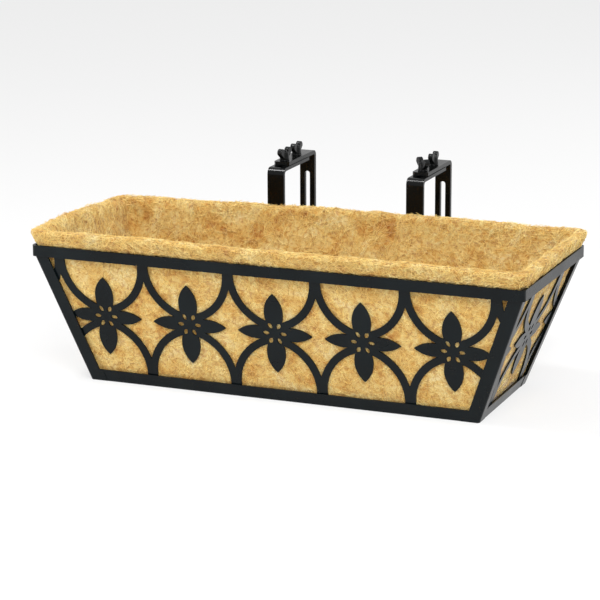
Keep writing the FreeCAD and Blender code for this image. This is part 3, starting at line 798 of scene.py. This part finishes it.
# %% Inputs of the fibre tree
def fibre_inputs(tree):
    """Give the tree its sockets; returns the group input's outputs."""
    face = tree.interface
    face.new_socket("Geometry", in_out="OUTPUT", socket_type="NodeSocketGeometry")
    face.new_socket("Geometry", in_out="INPUT", socket_type="NodeSocketGeometry")
    for name, kind, value in (("Density", "NodeSocketFloat", 1000.0),
                              ("Seed", "NodeSocketInt", 1),
                              ("Length", "NodeSocketFloat", 26 * MM),
                              ("Radius", "NodeSocketFloat", 0.22 * MM),
                              ("Curl", "NodeSocketFloat", 13 * MM),
                              ("Lift", "NodeSocketFloat", 0.6 * MM),
                              ("Hold", "NodeSocketFloat", 0.9)):
        face.new_socket(name, in_out="INPUT", socket_type=kind).default_value = value
    face.new_socket("Mat", in_out="INPUT", socket_type="NodeSocketObject")
    face.new_socket("Material", in_out="INPUT", socket_type="NodeSocketMaterial")
    return add(tree, "NodeGroupInput").outputs


fibres = bpy.data.node_groups.new("lay_coir_fibres", "GeometryNodeTree")
given = fibre_inputs(fibres)
sockets = {item.name: item.identifier for item in fibres.interface.items_tree
           if item.in_out == "INPUT"}
print("fibre inputs", sorted(sockets))

# %% [markdown]
# ## Loose fibres: straight lines on the mat
# Points are spread over the patch, and each gets a short line that lies on the
# skin, turned at random and from half to one and a half times the length. Each
# keeps a random number, "tone", that the material turns into its shade.

# %% Lines laid on the mat
POINTS_PER_FIBRE = 8
FULL_TURN = 6.283


def laid_lines(tree):
    """Straight lines on the patch, made real, with their tone stored."""
    spread = add(tree, "GeometryNodeDistributePointsOnFaces", {},
                 {"Mesh": given["Geometry"], "Density": given["Density"],
                  "Seed": given["Seed"]})
    spin = add(tree, "FunctionNodeRandomValue", {"Min": (0, 0, 0), "Max": (0, 0, FULL_TURN)},
               {"Seed": given["Seed"]}, data_type="FLOAT_VECTOR")
    spun = add(tree, "FunctionNodeRotateRotation", {},
               {"Rotation": spread.outputs["Rotation"], "Rotate By": spin.outputs[0]},
               rotation_space="LOCAL")
    reach = add(tree, "ShaderNodeCombineXYZ", {}, {"X": given["Length"]})
    line = add(tree, "GeometryNodeCurvePrimitiveLine", {}, {"End": reach.outputs[0]})
    fine = add(tree, "GeometryNodeResampleCurve", {"Count": POINTS_PER_FIBRE},
               {"Curve": line.outputs[0]})
    size = add(tree, "FunctionNodeRandomValue", {2: 0.45, 3: 1.5}, {"Seed": given["Seed"]},
               data_type="FLOAT")
    laid = add(tree, "GeometryNodeInstanceOnPoints", {},
               {"Points": spread.outputs["Points"], "Instance": fine.outputs[0],
                "Rotation": spun.outputs[0], "Scale": size.outputs[1]})
    tone = add(tree, "FunctionNodeRandomValue", {2: 0.0, 3: 1.0}, {"Seed": given["Seed"]},
               data_type="FLOAT")
    kept = add(tree, "GeometryNodeStoreNamedAttribute", {"Name": "tone"},
               {"Geometry": laid.outputs[0], "Value": tone.outputs[1]},
               data_type="FLOAT", domain="INSTANCE")
    return add(tree, "GeometryNodeRealizeInstances", {}, {"Geometry": kept.outputs[0]})


lines = laid_lines(fibres)
print("each fibre has", POINTS_PER_FIBRE, "points")

# %% [markdown]
# ## Loose fibres: bent and held to the skin
# A noise bends each line, with a slice of the noise of its own, so neighbours
# curl apart. Then its points are drawn back to the mat's skin: Hold says how
# closely, and Lift lets some fibres stand off it a little.

# %% Bend and hold
CURL_SIZE, SLICES = 10.0, 97.0


def bent_lines(tree, straight, place, own):
    """The lines moved by a noise that differs from fibre to fibre."""
    apart = add(tree, "ShaderNodeMath", {1: SLICES}, {0: own}, operation="MULTIPLY")
    wander = add(tree, "ShaderNodeTexNoise", {"Scale": 1 / (CURL_SIZE * MM), "Detail": 1.0},
                 {"Vector": place, "W": apart.outputs[0]}, noise_dimensions="4D")
    middle = add(tree, "ShaderNodeVectorMath", {1: (0.5, 0.5, 0.5)},
                 {0: wander.outputs["Color"]}, operation="SUBTRACT")
    bend = add(tree, "ShaderNodeVectorMath", {}, {0: middle.outputs[0], "Scale": given["Curl"]},
               operation="SCALE")
    return add(tree, "GeometryNodeSetPosition", {},
               {"Geometry": straight.outputs[0], "Offset": bend.outputs[0]})


def held_lines(tree, curly, place, own):
    """The bent lines drawn down to the skin of the mat."""
    mat = add(tree, "GeometryNodeObjectInfo", {}, {"Object": given["Mat"]})
    skin = add(tree, "GeometryNodeProximity", {}, {0: mat.outputs["Geometry"]},
               target_element="FACES")
    outward = add(tree, "GeometryNodeSampleNearestSurface", {},
                  {"Mesh": mat.outputs["Geometry"],
                   "Value": add(tree, "GeometryNodeInputNormal").outputs[0]},
                  data_type="FLOAT_VECTOR")
    away = add(tree, "ShaderNodeVectorMath", {}, {0: place, 1: skin.outputs["Position"]},
               operation="SUBTRACT")
    loose = add(tree, "ShaderNodeMath", {0: 1.0}, {1: given["Hold"]}, operation="SUBTRACT")
    left = add(tree, "ShaderNodeVectorMath", {},
               {0: away.outputs[0], "Scale": loose.outputs[0]}, operation="SCALE")
    stand = add(tree, "ShaderNodeMath", {}, {0: own, 1: given["Lift"]}, operation="MULTIPLY")
    rise = add(tree, "ShaderNodeVectorMath", {},
               {0: outward.outputs[0], "Scale": stand.outputs[0]}, operation="SCALE")
    total = add(tree, "ShaderNodeVectorMath", {},
                {0: skin.outputs["Position"], 1: left.outputs[0]}, operation="ADD")
    total = add(tree, "ShaderNodeVectorMath", {}, {0: total.outputs[0], 1: rise.outputs[0]},
                operation="ADD")
    return add(tree, "GeometryNodeSetPosition", {},
               {"Geometry": curly.outputs[0], "Position": total.outputs[0]})


place = add(fibres, "GeometryNodeInputPosition").outputs[0]
own_tone = add(fibres, "GeometryNodeInputNamedAttribute", {"Name": "tone"},
               data_type="FLOAT").outputs[0]
lines = held_lines(fibres, bent_lines(fibres, lines, place, own_tone), place, own_tone)
print("curls of about", CURL_SIZE, "mm")

# %% [markdown]
# ## Loose fibres: thin tubes
# A fibre is narrower than a pixel, so three sides are enough. The tree ends in
# Realize Instances and Set Material, since the export drops instances.

# %% Tubes and the tree's output
profile = add(fibres, "GeometryNodeCurvePrimitiveCircle", {"Resolution": 3},
              {"Radius": given["Radius"]})
tube = add(fibres, "GeometryNodeCurveToMesh", {},
           {"Curve": lines.outputs[0], "Profile Curve": profile.outputs[0]})
solid = add(fibres, "GeometryNodeRealizeInstances", {}, {"Geometry": tube.outputs[0]})
painted = add(fibres, "GeometryNodeSetMaterial", {},
              {"Geometry": solid.outputs[0], "Material": given["Material"]})
add(fibres, "NodeGroupOutput", links={"Geometry": painted.outputs[0]})
print("fibre tree of", len(fibres.nodes), "nodes")

# %% [markdown]
# ## Lay the fibres, patch by patch
# The mat's faces are copied into seven patches, so that no piece has too many
# triangles. Fibres stand off most on the lip and inside. Outside they lie flat,
# as steel touches the mat there, and the patches stop short of the rim, the
# posts and the floor.

# %% Patches of fibres
FIBRES_PER_PATCH = 4600
LIP_START = RIM_TOP + 1.5
OUTSIDE_TOP = RIM_TOP - 9
LIP_SPLIT, FRONT_Y, FRONT_HALF = -60, -70, 290
FLOOR_TOP, FLOOR_Y, OUTSIDE_FOOT = 16, 40, 10


def lay_fibres(name, seed, length, lift, hold, keep):
    """Fibres over the mat's faces whose middle passes keep(x, y, z, inside)."""
    mesh = liner.data
    chosen = []
    used = {}
    area = 0.0
    for polygon in mesh.polygons:
        x, y, z = polygon.center / MM
        if keep(x, y, z, is_inside(x, y, z)):
            chosen.append([used.setdefault(i, len(used)) for i in polygon.vertices])
            area += polygon.area
    patch = mesh_object(name, [mesh.vertices[i].co / MM for i in used], chosen)
    lay = patch.modifiers.new("lay", "NODES")
    lay.node_group = fibres
    for key, value in (("Mat", liner), ("Material", coir_fibre), ("Seed", seed),
                       ("Density", FIBRES_PER_PATCH / area), ("Length", length * MM),
                       ("Lift", lift * MM), ("Hold", hold)):
        lay[sockets[key]] = value
    apply_modifiers(patch)
    print(name, len(patch.data.polygons) * 2, "triangles on %.3f m2" % area)
    return patch


fibre_pieces = [
    lay_fibres("coir_fibres_lip_front", 1, 15, 1.2, 0.88,
               lambda x, y, z, inside: z > LIP_START and y < LIP_SPLIT),
    lay_fibres("coir_fibres_lip_back", 2, 15, 1.2, 0.88,
               lambda x, y, z, inside: z > LIP_START and y >= LIP_SPLIT),
    lay_fibres("coir_fibres_out_front", 3, 16, 0.35, 0.97,
               lambda x, y, z, inside: not inside and z < OUTSIDE_TOP and y < FRONT_Y
               and abs(x) < FRONT_HALF),
    lay_fibres("coir_fibres_out_sides", 4, 16, 0.35, 0.97,
               lambda x, y, z, inside: not inside and OUTSIDE_FOOT < z < OUTSIDE_TOP
               and y >= FRONT_Y),
    lay_fibres("coir_fibres_in_back", 5, 15, 1.2, 0.9,
               lambda x, y, z, inside: inside and FLOOR_TOP < z < LIP_START and y > FLOOR_Y),
    lay_fibres("coir_fibres_in_front", 6, 15, 1.2, 0.9,
               lambda x, y, z, inside: inside and FLOOR_TOP < z < LIP_START and y < -FLOOR_Y),
    lay_fibres("coir_fibres_in_floor", 7, 15, 1.2, 0.9,
               lambda x, y, z, inside: inside and z < LIP_START
               and (abs(y) <= FLOOR_Y or z <= FLOOR_TOP)),
]
print("patches", len(fibre_pieces))

# %% [markdown]
# ## Join the pieces to the frame
# The mat stands for the CAD liner, and it and its fibres ride on the liner's
# body, so they lift out together.

# %% Ride
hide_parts("coir_liner")
for piece in [liner] + fibre_pieces:
    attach(piece, "liner")
print("pieces on the liner's body", 1 + len(fibre_pieces))

# %% [markdown]
# ## A pale floor
# A catalogue picture is cut out on white. The floor is pale and matt, so it
# keeps the object's soft shadow. On top of that, the eye and a mirror see white
# mixed in, which sends no light onto the object but whitens the background and
# what black paint mirrors of it.

# %% Floor
WHITE_SHARE = 0.7                       # of what the eye and a mirror see behind the object
FLOOR_HALF, FLOOR_DEPTH = 30000.0, -0.3


def white_share(tree):
    """WHITE_SHARE for rays from the eye or a mirror, and 0 for all others."""
    ray = add(tree, "ShaderNodeLightPath").outputs
    seen = add(tree, "ShaderNodeMath", {}, {0: ray["Is Camera Ray"], 1: ray["Is Glossy Ray"]},
               operation="ADD", use_clamp=True)
    seen = add(tree, "ShaderNodeMath", {}, {0: seen.outputs[0], 1: ray["Is Transmission Ray"]},
               operation="ADD", use_clamp=True)
    return add(tree, "ShaderNodeMath", {1: WHITE_SHARE}, {0: seen.outputs[0]},
               operation="MULTIPLY").outputs[0]


def pale_floor_material():
    """Matt pale paint with a faint grain."""
    material, tree = new_material("pale_floor")
    place = add(tree, "ShaderNodeTexCoord").outputs["Object"]
    grain = add(tree, "ShaderNodeTexNoise", {"Scale": 40.0, "Detail": 3.0}, {"Vector": place})
    bump = add(tree, "ShaderNodeBump", {"Strength": 0.02, "Distance": 0.2 * MM},
               {"Height": grain.outputs["Fac"]})
    matt = add(tree, "ShaderNodeBsdfPrincipled",
               {"Base Color": colour("#eeeeee"), "Roughness": 0.9, "Specular IOR Level": 0.1},
               {"Normal": bump.outputs["Normal"]})
    white = add(tree, "ShaderNodeEmission", {"Color": (1, 1, 1, 1), "Strength": 1.0})
    finish_material(tree, add(tree, "ShaderNodeMixShader", {}, {
        0: white_share(tree), 1: matt.outputs[0], 2: white.outputs[0]}))
    return material


floor = mesh_object("floor", [(x * FLOOR_HALF, y * FLOOR_HALF, FLOOR_DEPTH) for x, y in
                              ((-1, -1), (1, -1), (1, 1), (-1, 1))], [(0, 1, 2, 3)])
floor.data.materials.append(pale_floor_material())
print("floor of %.0f m" % (2 * FLOOR_HALF * MM))

# %% [markdown]
# ## Soft light
# The world is a light tent, dim at the horizon and bright overhead, so black
# steel keeps a change of tone. A broad key lamp stands in front, to the right of
# the camera. A small low one lights the left end, one overhead puts the bright
# line on the bend of each strap, and one behind keeps the back readable.

# %% World and lamps
TENT_STRENGTH = 0.62

world = bpy.data.worlds.new("studio")
world.use_nodes = True
sky = world.node_tree
sky.nodes.clear()
towards = add(sky, "ShaderNodeTexCoord").outputs["Generated"]
upward = add(sky, "ShaderNodeSeparateXYZ", {}, {"Vector": towards})
tent = add(sky, "ShaderNodeValToRGB", links={"Fac": upward.outputs["Z"]}, stops=[
    (0.0, (0.25, 0.25, 0.25, 1)), (0.3, (0.5, 0.5, 0.5, 1)), (1.0, (1.0, 1.0, 1.0, 1))])
lit = add(sky, "ShaderNodeBackground", {"Strength": TENT_STRENGTH},
          {"Color": tent.outputs["Color"]})
plain = add(sky, "ShaderNodeBackground", {"Color": (1, 1, 1, 1), "Strength": 1.0})
both = add(sky, "ShaderNodeMixShader", {},
           {0: white_share(sky), 1: lit.outputs[0], 2: plain.outputs[0]})
add(sky, "ShaderNodeOutputWorld", links={"Surface": both.outputs[0]})
bpy.context.scene.world = world


def soft_light(name, place, target, size, power):
    """A rectangular lamp at a place, turned to a target, unseen by the camera."""
    data = bpy.data.lights.new(name, "AREA")
    data.shape = "RECTANGLE"
    data.size, data.size_y = size
    data.energy = power
    obj = bpy.data.objects.new(name, data)
    obj.location = place
    obj.rotation_euler = (Vector(target) - Vector(place)).to_track_quat("-Z", "Y").to_euler()
    obj.visible_camera = False
    bpy.context.scene.collection.objects.link(obj)


LAMPS = (("key", (1.0, -1.6, 1.7), (0, 0, 0.1), (1.4, 1.0), 45.0),
         ("side", (-1.0, -0.8, 0.4), (-0.3, -0.25, 0.0), (0.4, 0.3), 4.0),
         ("edge", (-0.81, -0.43, 2.2), (0, 0.1, 0.2), (0.4, 0.34), 25.0),
         ("back", (1.7, 1.7, 1.5), (0, 0, 0.1), (1.2, 1.0), 23.0))
for lamp in LAMPS:
    soft_light(*lamp)
print("lamps", [(lamp[0], lamp[-1]) for lamp in LAMPS])

# %% [markdown]
# ## Camera
# The camera stands at the photograph's angle, a little above the box and to its
# right, at the distance that gives the same perspective. Its lens is longer, so
# that the one planter fills the frame, and it looks at the middle of the view,
# so other views need no shift.

# %% Camera
AZIMUTH, ELEVATION, ROLL = math.radians(22.27), math.radians(14.41), math.radians(0.21)
DISTANCE = 2.952
ENLARGE = 1.85                          # the planter is this much smaller in the photograph
FRAME_PIXELS, SENSOR = 600.0, 36.0
FOCAL_PIXELS = 1352.0 * ENLARGE
aim = Vector((-0.4, -23.3, 105.4)) * MM
back = Vector((math.sin(AZIMUTH) * math.cos(ELEVATION),
               -math.cos(AZIMUTH) * math.cos(ELEVATION), math.sin(ELEVATION)))
right = Vector((math.cos(AZIMUTH), math.sin(AZIMUTH), 0.0))
axes = Matrix((right, back.cross(right), back)).transposed().to_4x4()
camera_data = bpy.data.cameras.new("camera")
camera_data.sensor_width = SENSOR
camera_data.lens = FOCAL_PIXELS / FRAME_PIXELS * SENSOR
camera_data.clip_end = 100.0
camera = bpy.data.objects.new("camera", camera_data)
camera.matrix_world = (Matrix.Translation(aim + back * DISTANCE) @ axes
                       @ Matrix.Rotation(-ROLL, 4, "Z"))
bpy.context.scene.collection.objects.link(camera)
bpy.context.scene.camera = camera
bpy.context.scene.view_settings.view_transform = "Standard"
print("lens %.1f mm at %.2f m" % (camera_data.lens, DISTANCE))
